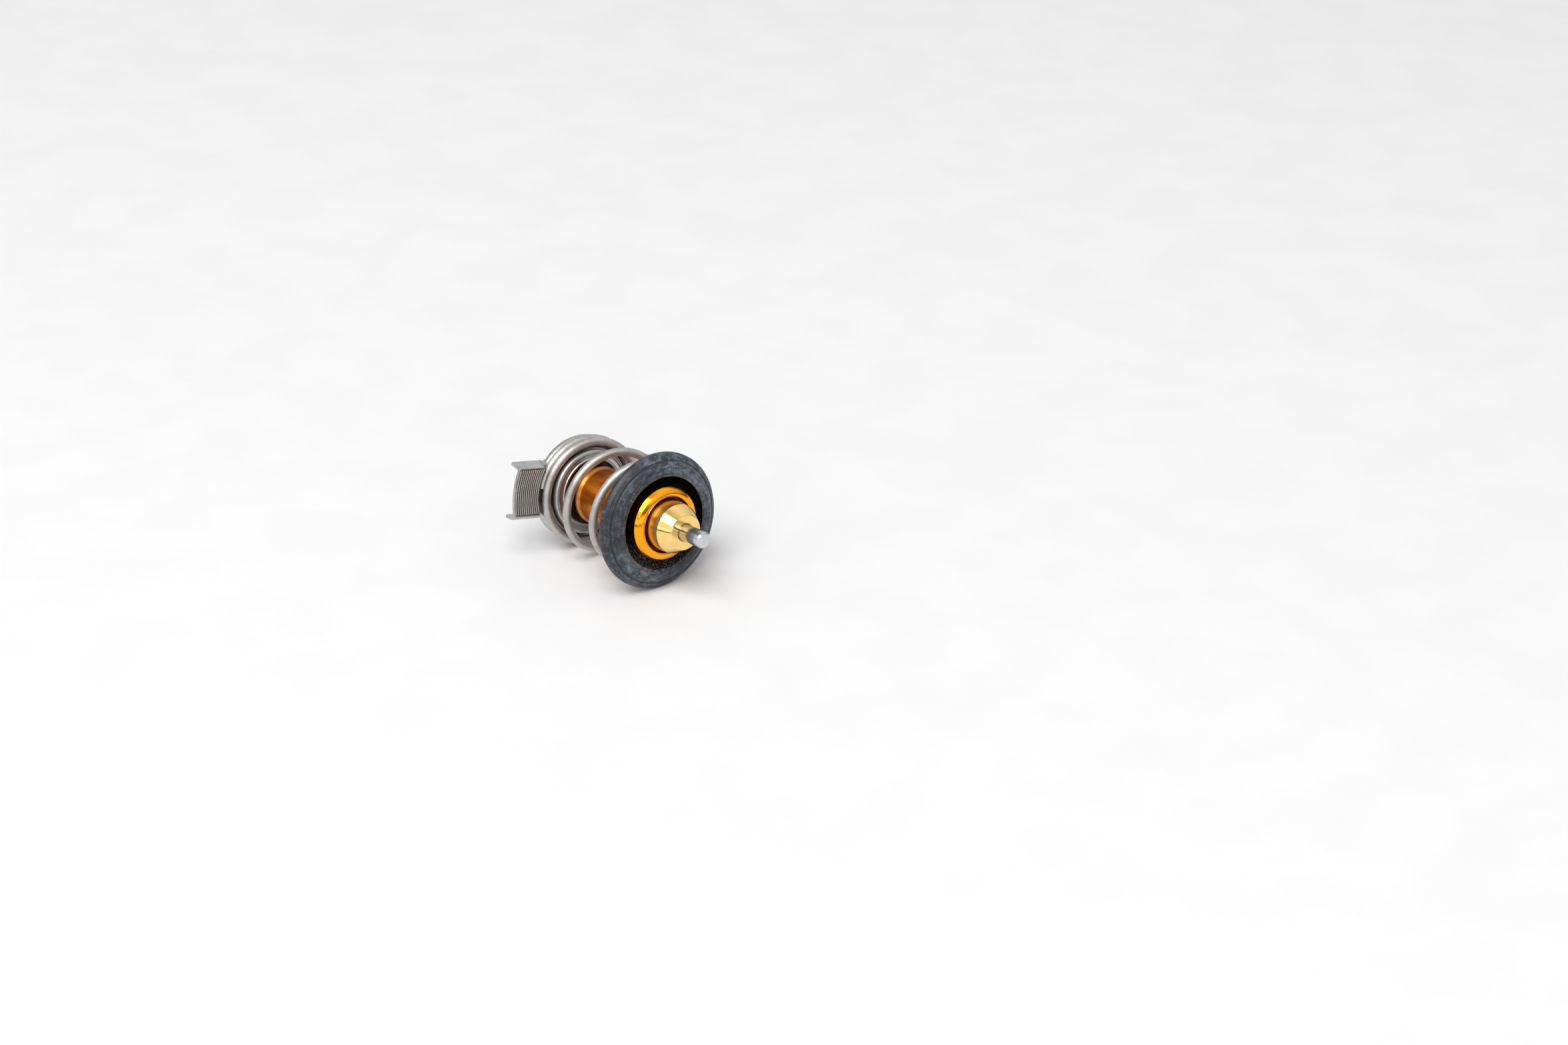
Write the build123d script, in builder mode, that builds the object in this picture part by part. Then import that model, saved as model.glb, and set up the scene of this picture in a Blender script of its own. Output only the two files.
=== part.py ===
from build123d import *
import os
from math import atan2, cos, pi, radians, sin, tan

# Wax thermostat insert for an engine's coolant housing, lying on its side.
# The wax in the copper cup pushes a steel piston out of the brass guide, the rubber-faced valve under
# the cup's head leaves its seat, and the spring on the pressed two-armed frame brings it back.
# Millimetres, +Z up. The origin is on the insert's axis, in the plane where the rubber rim is widest.
# +X is the way the piston points, along the ground. Heights are measured along the insert's axis.
# Radii grow outwards from the cup: each is the one inside it plus a named width.

# Clearances between pieces
running_gap = 0.03          # piston in its guide
boot_gap = 0.06             # piston in the rubber boot
seated_gap = 0.02           # pieces stacked face to face
slip_gap = 0.05             # valve plate on the cup's body
lock_gap = 0.05             # retaining washer behind the frame's collar
spring_gap = 0.05           # spring on the frame's seat
front_gap = 0.1             # spring under the valve plate's cone
coil_gap = 0.21             # frame's collar inside the spring
step_gap = 0.35             # step up to the arm outside the spring
hole_gap = 0.67             # cup's bead in the frame's hole

# Wax cup
cup_radius = 5.65
cup_wall = 0.55
cup_bead_rise = 0.35
cup_bead_offset = 1.15      # bead in front of the body's end
cup_bead_run = 0.7          # height over which the bead swells
cup_end_offset = 1.5        # body's end in front of the collar's crest
bottom_round = 0.3
head_step = 1.84            # rolled head beyond the body
head_top = 3.45
head_bottom = -0.95
head_wall = 0.8
head_roll = 0.85            # the rolled edge's curve, outside
lip_roll = 0.6              # and inside
lip_width = 1.49            # rolled lip, from the head's outside to its inner edge
lip_thick = 0.75
tail_radius = 3.0           # drawn nipple that carries the retaining washer
tail_bore_radius = 1.9
tail_rivet_lap = 0.5        # riveted edge behind the washer
tail_rivet_height = 0.6

# Piston and guide
piston_radius = 1.7
piston_tip = 15.1
piston_tip_round = 0.3
piston_taper_length = 5.0
piston_inner_radius = 0.9
piston_inner_end = -13.5
guide_face = 9.05
guide_shoulder = 6.25       # where the cone ends and the barrel starts
guide_lip_gap = 0.7         # open ring between the barrel and the lip
guide_barrel_draft = 0.27
guide_cone_width = 1.43
guide_flange_thick = 1.45
guide_mouth_chamfer = 0.22

# Boot and washer inside the cup
washer_thick = 0.4
boot_flange_thick = 1.0
boot_wall = 0.9

# Spring, wound left-handed
wire_radius = 0.87
spring_space = 4.88         # from the cup's body to the middle of the wire
closed_turns = 1.0          # at each end
total_turns = 4.7
ramp_turns = 0.45           # over which the pitch opens out
points_per_turn = 16
spring_start_angle = -6.0   # degrees from the first arm

# Steel plate inside the rubber
plate_thick = 0.8
plate_foot_step = 0.11      # foot of the cone outside the head
plate_seat_inside = 0.43    # flat over the spring, inside and outside the wire's middle
plate_seat_outside = 0.37
plate_edge_inset = 0.8      # steel edge inside the rubber rim
plate_edge_drop = 0.1       # steel edge below the rim's widest plane

# Rubber face of the valve
crown_inset = 0.58          # top of the inner edge inside the wire's middle
crown_height = 2.45
crown_round = 0.6
shoulder_width = 1.25       # from the inner edge's top to where the face starts to slope
shoulder_drop = 0.15
groove_width = 0.45
groove_depth = 0.15
groove_reach = 1.5          # from the shoulder to the groove
rim_width = 1.3             # from the groove to the rim
rim_wall = 0.55             # straight outer wall of the rim
rim_round = 0.25
rubber_thick = 1.0          # rubber over the steel plate
rubber_back_lap = 0.75      # rubber that wraps behind the steel edge
recess_width = 0.76         # from the head to the bottom of the ring channel
recess_floor_height = 0.45
recess_floor_round = 0.35
recess_lip_height = 1.9     # rubber lip that climbs the cup's head
recess_lip_thick = 0.4
recess_wall_inset = 0.45    # how far the channel's wall leans under the inner edge
recess_wall_drop = 0.5

# Pressed frame
sheet = 0.65
seat_height = -25.73        # front face of the spring's seat
seat_rim = 0.27             # seat's edge beyond the wire's middle
skirt_depth = 1.22
collar_draft = 0.25         # collar narrower at its shoulder than at its foot
collar_shoulder_rise = 2.83
collar_shoulder_width = 0.8
collar_crest_rise = 3.83
collar_bend = 0.5           # how much tighter the collar is bent inside
hole_roll = 0.48            # width of the raw edge round the hole
hole_roll_depth = 0.3
arm_step = 1.73             # from the seat up to the arms
arm_half_width = 5.6
arm_reach = 5.45            # ribbed length of each arm, beyond its step
arm_root = 8.6              # where the flanges run into the seat's skirt
arm_corner_fillet = 1.5
trailing_bend = 1.0
leading_bend = 0.5
leading_inset = 0.4         # leading bend nearer to the arm's middle than the trailing one
flare_width = 0.75          # how far the leading flange leans out
flare_depth = 1.3           # depth over which it leans, before it runs straight back
rib_pitch = 0.4825
rib_width = 0.24
rib_height = 0.12
rib_tip_margin = 0.48       # from the arm's tip to its first rib

# Retaining washer on the cup's tail
keeper_inset = 1.75         # inside the collar's foot
keeper_thick = 1.0
keeper_edge = 0.2

# How it lies: on the rubber rim and the first turn of the spring
roll_angle = 14.0           # degrees by which the first arm points up

# Radii, from the inside out
cup_bead_radius = cup_radius + cup_bead_rise
head_radius = cup_radius + head_step
lip_radius = head_radius - lip_width
guide_barrel_radius = lip_radius - guide_lip_gap
guide_shoulder_radius = guide_barrel_radius - guide_barrel_draft
guide_face_radius = guide_shoulder_radius - guide_cone_width
spring_radius = cup_radius + spring_space
spring_outer = spring_radius + wire_radius
cone_foot_radius = head_radius + plate_foot_step
cone_top_radius = spring_radius - plate_seat_inside
plate_flat_end = spring_radius + plate_seat_outside
crown_radius = spring_radius - crown_inset
shoulder_radius = crown_radius + shoulder_width
groove_radius = shoulder_radius + groove_reach
valve_radius = groove_radius + rim_width
plate_edge = valve_radius - plate_edge_inset
recess_floor_radius = head_radius + recess_width
seat_disc_radius = spring_radius + seat_rim
collar_root_radius = spring_radius - wire_radius - coil_gap
collar_shoulder_radius = collar_root_radius - collar_draft
collar_crest_radius = collar_shoulder_radius - collar_shoulder_width
hole_radius = cup_bead_radius + hole_gap
step_radius = spring_outer + step_gap
arm_tip_radius = step_radius + sheet + arm_reach
keeper_radius = collar_root_radius - keeper_inset

# Heights at the frame's end, from its seat
skirt_end = seat_height - skirt_depth
arm_face_height = seat_height + arm_step
collar_shoulder_height = seat_height + collar_shoulder_rise
collar_crest_height = seat_height + collar_crest_rise
cup_end_height = collar_crest_height + cup_end_offset
cup_bead_height = cup_end_height + cup_bead_offset

spring_rear = seat_height + wire_radius + spring_gap
closed_pitch = 2 * wire_radius
lowest_wire = spring_rear + 0.75 * closed_pitch     # height of the wire where it meets the ground
tilt = atan2(valve_radius - spring_outer, -lowest_wire)
roll = radians(roll_angle)
rest = Plane(
    origin=(0, 0, 0),
    x_dir=(-sin(roll) * sin(tilt), -cos(roll), sin(roll) * cos(tilt)),
    z_dir=(cos(tilt), 0, sin(tilt)),
)
axis = Axis(rest.origin, rest.z_dir)
section = Plane(origin=rest.origin, x_dir=rest.x_dir, z_dir=-rest.y_dir)


def across(height):
    """Plane square to the insert's axis, at a height along it."""
    return rest.offset(height)


def arm_plane(side, reach):
    """Plane square to an arm, at a reach from the insert's axis. side is 1 or -1."""
    plane = Plane(origin=rest.origin, x_dir=rest.y_dir * side, z_dir=rest.x_dir * side)
    return plane.offset(reach)


def corners_at(*places):
    """The open sketch's corners at these places."""
    return [v for v in vertices() if any(abs(v.X - x) + abs(v.Y - y) < seated_gap for x, y in places)]


os.makedirs("parts", exist_ok=True)

# Piston, tapered where it stands in the boot
taper_start = piston_inner_end + piston_taper_length
tip_corner = (piston_radius, piston_tip)
with BuildPart() as piston:
    with BuildSketch(section):
        with BuildLine():
            Polyline(
                (0, piston_tip),
                tip_corner,
                (piston_radius, taper_start),
                (piston_inner_radius, piston_inner_end),
                (0, piston_inner_end),
                close=True,
            )
        make_face()
        fillet(corners_at(tip_corner), piston_tip_round)
    revolve(axis=axis)

# Turned brass guide: flange under the lip, barrel, cone and bore
head_inner_radius = head_radius - head_wall
lip_under = head_top - lip_thick
guide_flange_radius = head_inner_radius - seated_gap
guide_flange_top = lip_under - seated_gap
guide_bottom = guide_flange_top - guide_flange_thick
guide_bore = piston_radius + running_gap
with BuildPart() as piston_guide:
    with BuildSketch(section):
        with BuildLine():
            Polyline(
                (guide_bore, guide_bottom),
                (guide_flange_radius, guide_bottom),
                (guide_flange_radius, guide_flange_top),
                (guide_barrel_radius, guide_flange_top),
                (guide_shoulder_radius, guide_shoulder),
                (guide_face_radius, guide_face),
                (guide_bore + guide_mouth_chamfer, guide_face),
                (guide_bore, guide_face - guide_mouth_chamfer),
                close=True,
            )
        make_face()
    revolve(axis=axis)

# Thin washer that keeps the boot off the guide
washer_bottom = guide_bottom - seated_gap - washer_thick
boot_bore = piston_radius + boot_gap
with BuildPart() as guide_washer:
    with BuildSketch(across(washer_bottom)):
        Circle(guide_flange_radius)
        Circle(boot_bore, mode=Mode.SUBTRACT)
    extrude(amount=washer_thick)

# Rubber boot round the piston, clamped by its flange
boot_top = washer_bottom - seated_gap
boot_flange_bottom = boot_top - boot_flange_thick
boot_outer = boot_bore + boot_wall
boot_tip_radius = piston_inner_radius + boot_wall
boot_floor = piston_inner_end - boot_gap
boot_end = boot_floor - boot_wall
with BuildPart() as rubber_boot:
    with BuildSketch(section):
        with BuildLine():
            Polyline(
                (boot_bore, boot_top),
                (guide_flange_radius, boot_top),
                (guide_flange_radius, boot_flange_bottom),
                (boot_outer, boot_flange_bottom),
                (boot_outer, taper_start),
                (boot_tip_radius, boot_end),
                (0, boot_end),
                (0, boot_floor),
                (piston_inner_radius + boot_gap, boot_floor),
                (boot_bore, taper_start),
                close=True,
            )
        make_face()
    revolve(axis=axis)

# Copper cup: rolled head, straight body, bead and riveted nipple at the closed end
keeper_front = collar_crest_height - sheet - lock_gap
keeper_back = keeper_front - keeper_thick
tail_end = keeper_back - tail_rivet_height
cup_bore = cup_radius - cup_wall
cup_floor = cup_end_height + cup_wall
head_floor = head_bottom + cup_wall
roll_corner = (head_radius, head_top)
lip_corner = (lip_radius, head_top)
bead_corner = (cup_bead_radius, cup_bead_height)
bottom_corner = (cup_radius, cup_end_height)
with BuildPart() as wax_cup:
    with BuildSketch(section):
        with BuildLine():
            Polyline(
                lip_corner,
                roll_corner,
                (head_radius, head_bottom + head_wall),
                (head_radius - head_wall, head_bottom),
                (cup_radius, head_bottom),
                (cup_radius, cup_bead_height + cup_bead_run),
                bead_corner,
                (cup_radius, cup_bead_height - cup_bead_run),
                bottom_corner,
                (tail_radius, cup_end_height),
                (tail_radius, keeper_back),
                (tail_radius + tail_rivet_lap, keeper_back),
                (tail_radius, tail_end),
                (0, tail_end),
                (0, tail_end + cup_wall),
                (tail_bore_radius, tail_end + cup_wall),
                (tail_bore_radius, cup_floor),
                (cup_bore, cup_floor),
                (cup_bore, head_floor),
                (head_inner_radius, head_floor),
                (head_inner_radius, lip_under),
                (lip_radius, lip_under),
                close=True,
            )
        make_face()
        fillet(corners_at(roll_corner), head_roll)
        fillet(corners_at(lip_corner), lip_roll)
        fillet(corners_at(bottom_corner), bottom_round)
    revolve(axis=axis)

# Wax that fills the cup round the boot
wax_radius = cup_bore - seated_gap
wax_top = boot_flange_bottom - seated_gap
wax_bottom = cup_floor + seated_gap
with BuildPart() as wax_charge:
    with BuildSketch(section):
        with BuildLine():
            Polyline(
                (boot_outer + seated_gap, wax_top),
                (wax_radius, wax_top),
                (wax_radius, wax_bottom),
                (0, wax_bottom),
                (0, boot_end - seated_gap),
                (boot_tip_radius + seated_gap, boot_end - seated_gap),
                (boot_outer + seated_gap, taper_start),
                close=True,
            )
        make_face()
    revolve(axis=axis)

# Steel valve plate: flat hub under the head, cone, raised seat for the spring, sloping edge
hub_top = head_bottom - seated_gap
hub_bottom = hub_top - plate_thick
plate_top = crown_height - rubber_thick
plate_under = plate_top - plate_thick
plate_bore = cup_radius + slip_gap
edge_top = -plate_edge_drop
edge_bottom = edge_top - plate_thick
cone_angle = atan2(plate_top - hub_top, cone_top_radius - cone_foot_radius)
cone_shift = plate_thick * tan(cone_angle / 2)
slope_angle = atan2(plate_top - edge_top, plate_edge - plate_flat_end)
slope_shift = plate_thick * tan(slope_angle / 2)
with BuildPart() as valve_plate:
    with BuildSketch(section):
        with BuildLine():
            Polyline(
                (plate_bore, hub_top),
                (cone_foot_radius, hub_top),
                (cone_top_radius, plate_top),
                (plate_flat_end, plate_top),
                (plate_edge, edge_top),
                (plate_edge, edge_bottom),
                (plate_flat_end - slope_shift, plate_under),
                (cone_top_radius + cone_shift, plate_under),
                (cone_foot_radius + cone_shift, hub_bottom),
                (plate_bore, hub_bottom),
                close=True,
            )
        make_face()
    revolve(axis=axis)

# Rubber moulded over the plate: lip on the head, ring channel, crown, grooved face and rim
lip_inner = head_radius + seated_gap
shoulder_height = crown_height - shoulder_drop
face_slope = shoulder_height / (valve_radius - shoulder_radius)
groove_height = shoulder_height - groove_reach * face_slope
groove_rise = groove_width / 2 * face_slope
lap_inner = plate_edge - rubber_back_lap
rubber_back = edge_bottom - rim_wall
crown_corner = (crown_radius, crown_height)
shoulder_corner = (shoulder_radius, shoulder_height)
channel_corner = (recess_floor_radius, recess_floor_height)
rim_corner = (valve_radius, 0)
back_corner = (valve_radius, -rim_wall)
with BuildPart() as valve_seal:
    with BuildSketch(section):
        with BuildLine():
            Polyline(
                (lip_inner, hub_top),
                (lip_inner, recess_lip_height),
                (lip_inner + recess_lip_thick, recess_lip_height),
                channel_corner,
                (crown_radius - recess_wall_inset, crown_height - recess_wall_drop),
                crown_corner,
                shoulder_corner,
                (groove_radius - groove_width / 2, groove_height + groove_rise),
                (groove_radius, groove_height - groove_depth),
                (groove_radius + groove_width / 2, groove_height - groove_rise),
                rim_corner,
                back_corner,
                (valve_radius - rim_wall, rubber_back),
                (lap_inner, rubber_back),
                (lap_inner, hub_top),
                close=True,
            )
        make_face()
        fillet(corners_at(crown_corner), crown_round)
        fillet(corners_at(channel_corner), recess_floor_round)
        fillet(corners_at(rim_corner, back_corner), rim_round)
        # The steel and the room behind it
        with BuildLine():
            Polyline(
                (plate_bore, hub_top),
                (cone_foot_radius, hub_top),
                (cone_top_radius, plate_top),
                (plate_flat_end, plate_top),
                (plate_edge, edge_top),
                (plate_edge, edge_bottom),
                (lap_inner, edge_bottom),
                (lap_inner, rubber_back - plate_thick),
                (plate_bore, rubber_back - plate_thick),
                close=True,
            )
        make_face(mode=Mode.SUBTRACT)
    revolve(axis=axis)

# Coil spring, closed at both ends, its front turn nested under the valve plate's cone
cone_line = plate_top + plate_seat_inside * tan(cone_angle)
spring_front = cone_line - (plate_thick + front_gap + wire_radius) / cos(cone_angle)
open_turns = total_turns - 2 * closed_turns
open_rise = spring_front - spring_rear - 2 * closed_turns * closed_pitch
open_pitch = (open_rise - ramp_turns * closed_pitch) / (open_turns - ramp_turns)


def wire_height(turn):
    """Height of the wire's middle on the axis after so many turns."""
    from_end = min(turn, total_turns - turn)
    beyond = max(from_end - closed_turns, 0)
    eased = min(beyond, ramp_turns)
    rise = closed_pitch * (min(from_end, closed_turns) + eased)
    rise += (open_pitch - closed_pitch) * eased * eased / (2 * ramp_turns)
    rise += open_pitch * (beyond - eased)
    return spring_rear + rise if turn < total_turns / 2 else spring_front - rise


def wire_point(turn):
    """Point on the wire's middle line, in the insert's own frame."""
    angle = radians(spring_start_angle) - 2 * pi * turn
    return (spring_radius * cos(angle), spring_radius * sin(angle), wire_height(turn))


wire_steps = round(total_turns * points_per_turn)
wire_points = [wire_point(total_turns * step / wire_steps) for step in range(wire_steps + 1)]
with BuildPart() as main_spring:
    with BuildLine(rest) as wire_line:
        Spline(*wire_points)
    with BuildSketch(Plane(origin=wire_line.line @ 0, z_dir=wire_line.line % 0)):
        Circle(wire_radius)
    sweep(path=wire_line.line, is_frenet=True)

# Pressed frame: seat with its turned-back skirt, collar for the cup, two channel-shaped arms
seat_under = seat_height - sheet
arm_under = arm_face_height - sheet
leading_width = arm_half_width - leading_inset
flange_width = leading_width + flare_width
leading_corner = (-leading_width, arm_face_height)
trailing_corner = (arm_half_width, arm_face_height)
flare_end = arm_face_height - flare_depth
flare_under = flare_end - sheet / 2
arm_depth = arm_face_height - skirt_end
crest_under = collar_crest_height - sheet
with BuildPart() as frame:
    with BuildSketch(across(skirt_end)):
        Circle(seat_disc_radius)
        Rectangle(2 * arm_tip_radius + 2 * sheet, 2 * arm_half_width)
        corners = [v for v in vertices() if abs(v.X) < seat_disc_radius]
        fillet(corners, arm_corner_fillet)
    extrude(amount=seat_height - skirt_end)
    # Arms, the flange on one edge of each leaning out
    for side in (1, -1):
        with BuildSketch(arm_plane(side, arm_root)):
            with BuildLine():
                Polyline(
                    leading_corner,
                    (-flange_width, flare_end),
                    (-flange_width, skirt_end),
                    (arm_half_width, skirt_end),
                    trailing_corner,
                    close=True,
                )
            make_face()
            fillet(corners_at(leading_corner), leading_bend)
            fillet(corners_at(trailing_corner), trailing_bend)
        extrude(amount=arm_tip_radius)
    with BuildSketch(across(skirt_end)):
        Circle(arm_tip_radius)
    extrude(amount=arm_depth, mode=Mode.INTERSECT)
    # Room for the spring in front of the seat
    with BuildSketch(across(seat_height)):
        Circle(step_radius)
    extrude(amount=arm_depth, mode=Mode.SUBTRACT)
    # Hollow back: shallow behind the seat, deep behind the arms
    with BuildSketch(across(skirt_end)):
        Circle(seat_disc_radius - sheet)
        Rectangle(2 * arm_root, 2 * (arm_half_width - sheet))
    extrude(amount=seat_under - skirt_end, mode=Mode.SUBTRACT)
    for side in (1, -1):
        for reach, ceiling in ((arm_root, seat_under), (step_radius + sheet, arm_under)):
            with BuildSketch(arm_plane(side, reach)):
                with BuildLine():
                    Polyline(
                        (sheet - leading_width, ceiling),
                        (sheet - flange_width, flare_under),
                        (sheet - flange_width, skirt_end),
                        (arm_half_width - sheet, skirt_end),
                        (arm_half_width - sheet, ceiling),
                        close=True,
                    )
                make_face()
            extrude(amount=arm_tip_radius, mode=Mode.SUBTRACT)
    # Drawn collar round the cup, its hole's edge left rough from the punch
    with BuildSketch(across(seat_under)):
        Circle(collar_root_radius - sheet)
    extrude(amount=arm_depth, mode=Mode.SUBTRACT)
    with BuildSketch(section):
        with BuildLine():
            Polyline(
                (collar_root_radius - sheet, seat_under),
                (collar_root_radius, seat_under),
                (collar_root_radius, seat_height),
                (collar_shoulder_radius, collar_shoulder_height),
                (collar_crest_radius, collar_crest_height),
                (hole_radius + hole_roll, collar_crest_height),
                (hole_radius, collar_crest_height - hole_roll_depth),
                (hole_radius, crest_under),
                (collar_crest_radius - collar_bend, crest_under),
                (collar_shoulder_radius - sheet, collar_shoulder_height - collar_bend),
                close=True,
            )
        make_face()
    revolve(axis=axis)
    # Ribs pressed across the arms, on arcs round the insert's axis
    rib_count = int((arm_reach - rib_tip_margin) / rib_pitch) + 1
    with BuildSketch(across(arm_face_height)):
        for rib in range(rib_count):
            middle = arm_tip_radius - rib_tip_margin - rib * rib_pitch
            Circle(middle + rib_width / 2)
            Circle(middle - rib_width / 2, mode=Mode.SUBTRACT)
        rib_reach = 2 * (arm_half_width - trailing_bend)
        Rectangle(2 * arm_tip_radius, rib_reach, mode=Mode.INTERSECT)
    extrude(amount=rib_height)

# Washer pressed on the cup's tail behind the collar: it holds the spring's preload
with BuildPart() as retaining_washer:
    with BuildSketch(across(keeper_back)):
        Circle(keeper_radius)
        Circle(tail_radius + seated_gap, mode=Mode.SUBTRACT)
    extrude(amount=keeper_thick)
    outer_edges = edges().group_by(SortBy.LENGTH)[-1]
    chamfer(outer_edges, keeper_edge)

piston.part.label = "piston"
piston_guide.part.label = "piston_guide"
guide_washer.part.label = "guide_washer"
rubber_boot.part.label = "rubber_boot"
wax_cup.part.label = "wax_cup"
wax_charge.part.label = "wax_charge"
valve_plate.part.label = "valve_plate"
valve_seal.part.label = "valve_seal"
main_spring.part.label = "main_spring"
frame.part.label = "frame"
retaining_washer.part.label = "retaining_washer"

export_step(piston.part, "parts/piston.step")
export_step(piston_guide.part, "parts/piston_guide.step")
export_step(guide_washer.part, "parts/guide_washer.step")
export_step(rubber_boot.part, "parts/rubber_boot.step")
export_step(wax_cup.part, "parts/wax_cup.step")
export_step(wax_charge.part, "parts/wax_charge.step")
export_step(valve_plate.part, "parts/valve_plate.step")
export_step(valve_seal.part, "parts/valve_seal.step")
export_step(main_spring.part, "parts/main_spring.step")
export_step(frame.part, "parts/frame.step")
export_step(retaining_washer.part, "parts/retaining_washer.step")
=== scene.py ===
import bpy
from math import atan2, cos, hypot, pi, radians, sin, sqrt, tan
from mathutils import Matrix, Vector


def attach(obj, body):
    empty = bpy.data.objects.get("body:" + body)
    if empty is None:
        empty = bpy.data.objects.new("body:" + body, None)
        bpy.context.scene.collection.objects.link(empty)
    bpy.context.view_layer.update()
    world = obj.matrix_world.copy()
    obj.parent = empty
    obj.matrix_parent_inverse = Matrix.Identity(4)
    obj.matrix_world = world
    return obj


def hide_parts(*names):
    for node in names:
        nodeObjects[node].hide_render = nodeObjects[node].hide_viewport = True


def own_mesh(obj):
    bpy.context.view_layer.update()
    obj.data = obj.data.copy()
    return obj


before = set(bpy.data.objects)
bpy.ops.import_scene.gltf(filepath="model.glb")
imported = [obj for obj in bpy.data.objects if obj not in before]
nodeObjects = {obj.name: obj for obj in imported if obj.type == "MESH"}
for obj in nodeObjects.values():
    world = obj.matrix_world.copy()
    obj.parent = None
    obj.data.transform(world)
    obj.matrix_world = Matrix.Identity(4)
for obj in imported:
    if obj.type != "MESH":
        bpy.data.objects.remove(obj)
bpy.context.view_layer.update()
millimetre = 0.001

# How the insert lies: on its rubber rim and on the first turn of its spring
lying = {
    "rimRadius": 14.0,
    "springOuter": 11.4,
    "lowestWire": -23.505,
    "roll": radians(14.0),
}
tilt = atan2(lying["rimRadius"] - lying["springOuter"], -lying["lowestWire"])
roll = lying["roll"]
alongAxis = Vector((cos(tilt), 0, sin(tilt)))
alongArm = Vector((-sin(roll) * sin(tilt), -cos(roll), sin(roll) * cos(tilt)))
acrossArm = alongAxis.cross(alongArm)
layDown = Matrix((
    (alongArm.x, acrossArm.x, alongAxis.x, 0),
    (alongArm.y, acrossArm.y, alongAxis.y, 0),
    (alongArm.z, acrossArm.z, alongAxis.z, 0),
    (0, 0, 0, 1),
)) @ Matrix.Scale(millimetre, 4)


def addObject(name, mesh, material):
    piece = bpy.data.objects.new(name, mesh)
    bpy.context.collection.objects.link(piece)
    mesh.materials.clear()
    mesh.materials.append(material)
    return piece


def smooth(mesh):
    mesh.polygons.foreach_set("use_smooth", [True] * len(mesh.polygons))
    mesh.update()


def baked(source, name, material):
    graph = bpy.context.evaluated_depsgraph_get()
    mesh = bpy.data.meshes.new_from_object(source.evaluated_get(graph))
    bpy.data.objects.remove(source)
    return addObject(name, mesh, material)


# Shader groups


class Tree:
    def __init__(self, tree):
        self.tree = tree
        self.links = tree.links

    def add(self, kind, inputs=(), **settings):
        node = self.tree.nodes.new(kind)
        for key, value in settings.items():
            setattr(node, key, value)
        for socket, value in dict(inputs).items():
            self.feed(node.inputs[socket], value)
        return node

    def feed(self, socket, value):
        if isinstance(value, bpy.types.NodeSocket):
            self.links.new(value, socket)
        else:
            socket.default_value = value

    def math(self, operation, first, second=0.0, third=None):
        inputs = {0: first, 1: second}
        if third is not None:
            inputs[2] = third
        return self.add("ShaderNodeMath", inputs, operation=operation).outputs[0]

    def noise(self, vector, scale, detail=3.0, roughness=0.5, distortion=0.0):
        values = {"Vector": vector, "Scale": scale, "Detail": detail,
                  "Roughness": roughness, "Distortion": distortion}
        return self.add("ShaderNodeTexNoise", values)

    def ramp(self, value, stops):
        node = self.add("ShaderNodeValToRGB", {"Fac": value})
        elements = node.color_ramp.elements
        while len(elements) < len(stops):
            elements.new(0.5)
        for element, (position, color) in zip(elements, stops):
            element.position = position
            element.color = (*color, 1) if len(color) == 3 else color
        return node.outputs["Color"]

    def span(self, value, low, high, outLow=0.0, outHigh=1.0):
        inputs = {"Value": value, "From Min": low, "From Max": high,
                  "To Min": outLow, "To Max": outHigh}
        return self.add("ShaderNodeMapRange", inputs).outputs["Result"]

    def mix(self, factor, first, second, blend="MIX"):
        node = self.add("ShaderNodeMix", data_type="RGBA", blend_type=blend)
        self.feed(node.inputs["Factor"], factor)
        self.feed(node.inputs[6], first if not isinstance(first, tuple) else (*first, 1))
        self.feed(node.inputs[7], second if not isinstance(second, tuple) else (*second, 1))
        return node.outputs[2]


def startGroup(name, inputs, outputs):
    group = bpy.data.node_groups.new(name, "ShaderNodeTree")
    for label, (kind, default) in inputs.items():
        socket = group.interface.new_socket(label, in_out="INPUT", socket_type=kind)
        socket.default_value = default
    for label, kind in outputs.items():
        group.interface.new_socket(label, in_out="OUTPUT", socket_type=kind)
    tree = Tree(group)
    return group, tree, tree.add("NodeGroupInput"), tree.add("NodeGroupOutput")


number = "NodeSocketFloat"
arrow = "NodeSocketVector"


def makeAxisSpace():
    outputs = {"Height": number, "Radius": number, "Angle": number, "Local": arrow}
    group, tree, _, out = startGroup("AxisSpace", {}, outputs)
    place = tree.add("ShaderNodeTexCoord").outputs["Object"]
    parts = []
    for direction in (alongArm, acrossArm, alongAxis):
        dot = tree.add("ShaderNodeVectorMath", {0: place}, operation="DOT_PRODUCT")
        dot.inputs[1].default_value = direction / millimetre
        parts.append(dot.outputs["Value"])
    squares = tree.math("ADD", tree.math("POWER", parts[0], 2.0), tree.math("POWER", parts[1], 2.0))
    local = tree.add("ShaderNodeCombineXYZ", {"X": parts[0], "Y": parts[1], "Z": parts[2]})
    tree.feed(out.inputs["Height"], parts[2])
    tree.feed(out.inputs["Radius"], tree.math("SQRT", squares))
    tree.feed(out.inputs["Angle"], tree.math("ARCTAN2", parts[1], parts[0]))
    tree.feed(out.inputs["Local"], local.outputs[0])
    return group


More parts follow.
